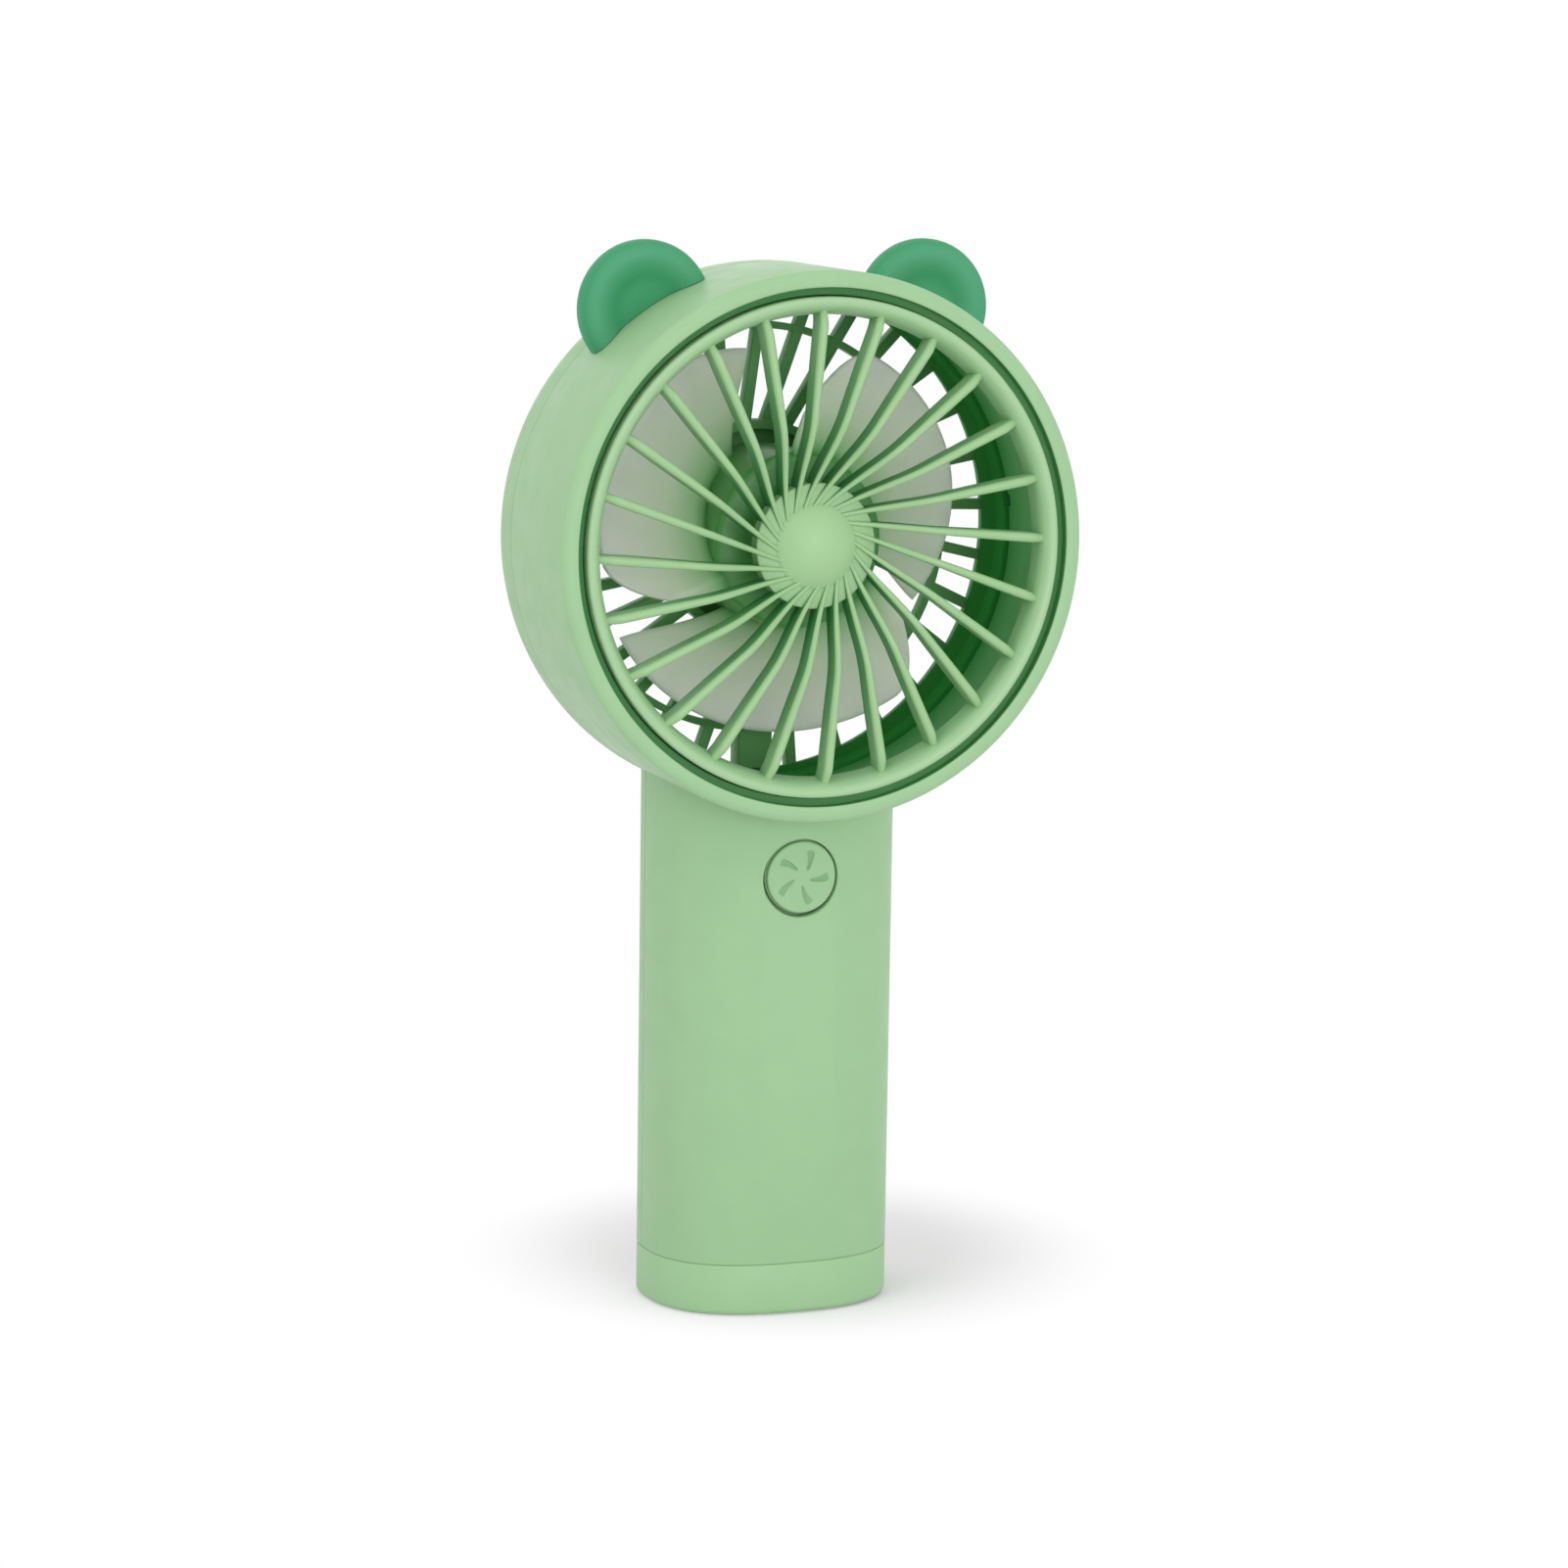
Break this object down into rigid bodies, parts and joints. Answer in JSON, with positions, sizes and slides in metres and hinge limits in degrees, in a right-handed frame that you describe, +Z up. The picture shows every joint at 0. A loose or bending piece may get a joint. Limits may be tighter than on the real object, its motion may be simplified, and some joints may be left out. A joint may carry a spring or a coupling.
{
  "type": "handheld electric fan",
  "caption": "Small rechargeable fan: a round ducted head with a swirled front grille and wide twisted blades, round ears on top, and a flat-bottomed handle with a push button.",
  "frame": {"origin": "middle of the handle's flat rest face, on the surface that the fan stands on", "axes": "+Z up along the handle, -Y the way the air leaves through the front grille, +X to the right seen from the front"},
  "size_m": [0.095, 0.0393, 0.1891],
  "materials": {
    "shell_green": "pale green moulded plastic, satin",
    "grille_green": "pale green moulded plastic, satin",
    "duct_green": "deep green moulded plastic, satin",
    "ear_green": "middle green moulded plastic, satin",
    "blade_green": "pale grey green moulded plastic, smooth",
    "motor_steel": "plated steel",
    "screw_steel": "zinc plated steel",
    "socket_steel": "bright plated steel with a dark tongue",
    "bush_bronze": "sintered bronze",
    "rotor_iron": "laminated iron",
    "magnet_grey": "dark ferrite",
    "end_cap_white": "white moulded plastic",
    "switch_black": "black moulded plastic",
    "board_green": "green solder mask",
    "cell_wrap": "blue shrink film",
    "strap_nickel": "nickel strip",
    "lead_red": "red lead sleeve",
    "lead_black": "black lead sleeve"
  },
  "bodies": {
    "fan_body": {"front_housing": "shell_green", "rear_housing": "shell_green", "base_cap": "shell_green", "front_grille": "grille_green", "air_duct": "duct_green", "rear_grille": "duct_green", "ear_left": "ear_green", "ear_right": "ear_green", "motor_can": "motor_steel", "housing_screw_1": "screw_steel", "housing_screw_2": "screw_steel", "housing_screw_3": "screw_steel", "housing_screw_4": "screw_steel", "board_screw_1": "screw_steel", "board_screw_2": "screw_steel", "charge_socket": "socket_steel", "motor_bush_front": "bush_bronze", "motor_bush_rear": "bush_bronze", "motor_magnet_left": "magnet_grey", "motor_magnet_right": "magnet_grey", "motor_end_cap": "end_cap_white", "switch_body": "switch_black", "circuit_board": "board_green", "charge_board": "board_green", "battery_cell": "cell_wrap", "battery_strap_top": "strap_nickel", "battery_strap_bottom": "strap_nickel", "motor_lead_red": "lead_red", "motor_lead_black": "lead_black"},
    "rotor": {"impeller": "blade_green", "motor_shaft": "motor_steel", "motor_rotor": "rotor_iron"},
    "button": {"button_cap": "shell_green"},
    "plunger": {"switch_plunger": "switch_black"}
  },
  "joints": [
    {"name": "impeller_spin", "type": "hinge", "parent": "fan_body", "child": "rotor", "pos_m": [0, 0, 0.1374], "axis": [0, 1, 0], "continuous": true},
    {"name": "button_press", "type": "slide", "parent": "fan_body", "child": "button", "axis": [0, 1, 0], "range_m": [0, 0.0005], "stiffness_N_per_m": 2000, "springref_m": -0.0002},
    {"name": "plunger_press", "type": "slide", "parent": "fan_body", "child": "plunger", "axis": [0, 1, 0], "range_m": [0, 0.0005]}
  ],
  "couplings": [
    {"joint": "plunger_press", "follows": "button_press", "ratio": 1}
  ]
}
